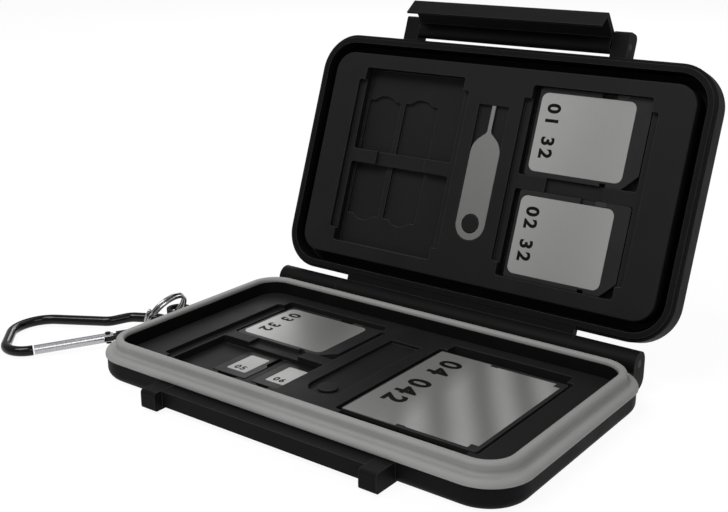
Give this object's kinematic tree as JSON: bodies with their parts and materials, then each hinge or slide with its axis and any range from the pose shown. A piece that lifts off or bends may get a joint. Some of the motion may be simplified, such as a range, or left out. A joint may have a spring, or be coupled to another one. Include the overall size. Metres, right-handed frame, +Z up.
{
  "type": "memory card case",
  "caption": "Hinged black memory card case with grey rim seal, card trays in base and lid, stored cards, an eject tool, a front latch and a small carabiner on a split ring.",
  "frame": {"origin": "middle of the case's underside, where the case rests", "axes": "+Z up, -Y towards the latch side of the base, +Y towards the hinge, X along the hinge"},
  "size_m": [0.1638, 0.1147, 0.0891],
  "materials": {
    "shell_plastic": "fine matt moulding",
    "tray_plastic": "fine matt moulding",
    "seal_rubber": "smooth satin",
    "pin_steel": "drawn",
    "ring_chrome": "polished",
    "hook_paint": "gloss",
    "gate_metal": "polished",
    "tool_steel": "blasted",
    "card_plastic": "fine matt moulding",
    "label_print": "satin printed film",
    "lock_plastic": "matt",
    "contact_gold": "polished plating",
    "cover_steel": "satin printed sheet"
  },
  "bodies": {
    "base": {"base_shell": "shell_plastic", "rim_seal": "seal_rubber", "base_insert": "tray_plastic", "hinge_pin": "pin_steel"},
    "lid": {"lid_shell": "shell_plastic", "lid_insert": "tray_plastic", "latch_pin": "pin_steel"},
    "latch": {"latch_flap": "shell_plastic"},
    "ring": {"split_ring": "ring_chrome"},
    "hook": {"carabiner_body": "hook_paint", "gate_rivet": "pin_steel"},
    "gate": {"carabiner_gate": "gate_metal", "gate_spring": "pin_steel"},
    "tool": {"eject_tool": "tool_steel"},
    "wide_card": {"cf_frame": "card_plastic", "cf_top_cover": "cover_steel", "cf_bottom_cover": "cover_steel"},
    "base_sd": {"base_sd_body": "card_plastic", "base_sd_label": "label_print", "base_sd_contacts": "contact_gold"},
    "base_sd_slider": {"base_sd_lock": "lock_plastic"},
    "lid_sd_front": {"lid_sd_front_body": "card_plastic", "lid_sd_front_label": "label_print", "lid_sd_front_contacts": "contact_gold"},
    "lid_sd_front_slider": {"lid_sd_front_lock": "lock_plastic"},
    "lid_sd_rear": {"lid_sd_rear_body": "card_plastic", "lid_sd_rear_label": "label_print", "lid_sd_rear_contacts": "contact_gold"},
    "lid_sd_rear_slider": {"lid_sd_rear_lock": "lock_plastic"},
    "micro_left": {"micro_left_body": "card_plastic", "micro_left_label": "label_print", "micro_left_contacts": "contact_gold"},
    "micro_right": {"micro_right_body": "card_plastic", "micro_right_label": "label_print", "micro_right_contacts": "contact_gold"}
  },
  "joints": [
    {"name": "lid_hinge", "type": "hinge", "parent": "base", "child": "lid", "pos_m": [0, 0.03995, 0.0071], "axis": [-1, 0, 0], "range_deg": [-109.6, 0]},
    {"name": "latch_hinge", "type": "hinge", "parent": "lid", "child": "latch", "pos_m": [0, 0.06907, 0.08022], "axis": [-1, 0, 0], "range_deg": [-34, 90]},
    {"name": "ring_swing", "type": "hinge", "parent": "base", "child": "ring", "pos_m": [-0.0687, 0.0039, 0.00445], "axis": [-0.5222, -0.309, -0.7949], "range_deg": [0, 20]},
    {"name": "hook_swing", "type": "hinge", "parent": "ring", "child": "hook", "pos_m": [-0.0714, -0.0026, 0.001], "axis": [0, 1, 0], "range_deg": [0, 12]},
    {"name": "gate_hinge", "type": "hinge", "parent": "hook", "child": "gate", "pos_m": [-0.07192, -0.01967, 0.00267], "axis": [0.0325, 0.0323, -0.9989], "range_deg": [0, 25], "stiffness_Nm_per_rad": 0.002, "springref_deg": -20.05},
    {"name": "tool_lift", "type": "slide", "parent": "lid", "child": "tool", "axis": [0, -0.9421, 0.3355], "range_m": [0, 0.004]},
    {"name": "wide_card_lift", "type": "slide", "parent": "base", "child": "wide_card", "axis": [0, 0, 1], "range_m": [0, 0.006]},
    {"name": "base_sd_lift", "type": "slide", "parent": "base", "child": "base_sd", "axis": [0, 0, 1], "range_m": [0, 0.006]},
    {"name": "lid_sd_front_lift", "type": "slide", "parent": "lid", "child": "lid_sd_front", "axis": [0, -0.9421, 0.3355], "range_m": [0, 0.006]},
    {"name": "lid_sd_rear_lift", "type": "slide", "parent": "lid", "child": "lid_sd_rear", "axis": [0, -0.9421, 0.3355], "range_m": [0, 0.006]},
    {"name": "micro_left_lift", "type": "slide", "parent": "base", "child": "micro_left", "axis": [0, 0, 1], "range_m": [0, 0.006]},
    {"name": "micro_right_lift", "type": "slide", "parent": "base", "child": "micro_right", "axis": [0, 0, 1], "range_m": [0, 0.006]},
    {"name": "base_sd_lock_slide", "type": "slide", "parent": "base_sd", "child": "base_sd_slider", "axis": [-1, 0, 0], "range_m": [0, 0.0042]},
    {"name": "lid_sd_front_lock_slide", "type": "slide", "parent": "lid_sd_front", "child": "lid_sd_front_slider", "axis": [-1, 0, 0], "range_m": [0, 0.0042]},
    {"name": "lid_sd_rear_lock_slide", "type": "slide", "parent": "lid_sd_rear", "child": "lid_sd_rear_slider", "axis": [-1, 0, 0], "range_m": [0, 0.0042]}
  ]
}
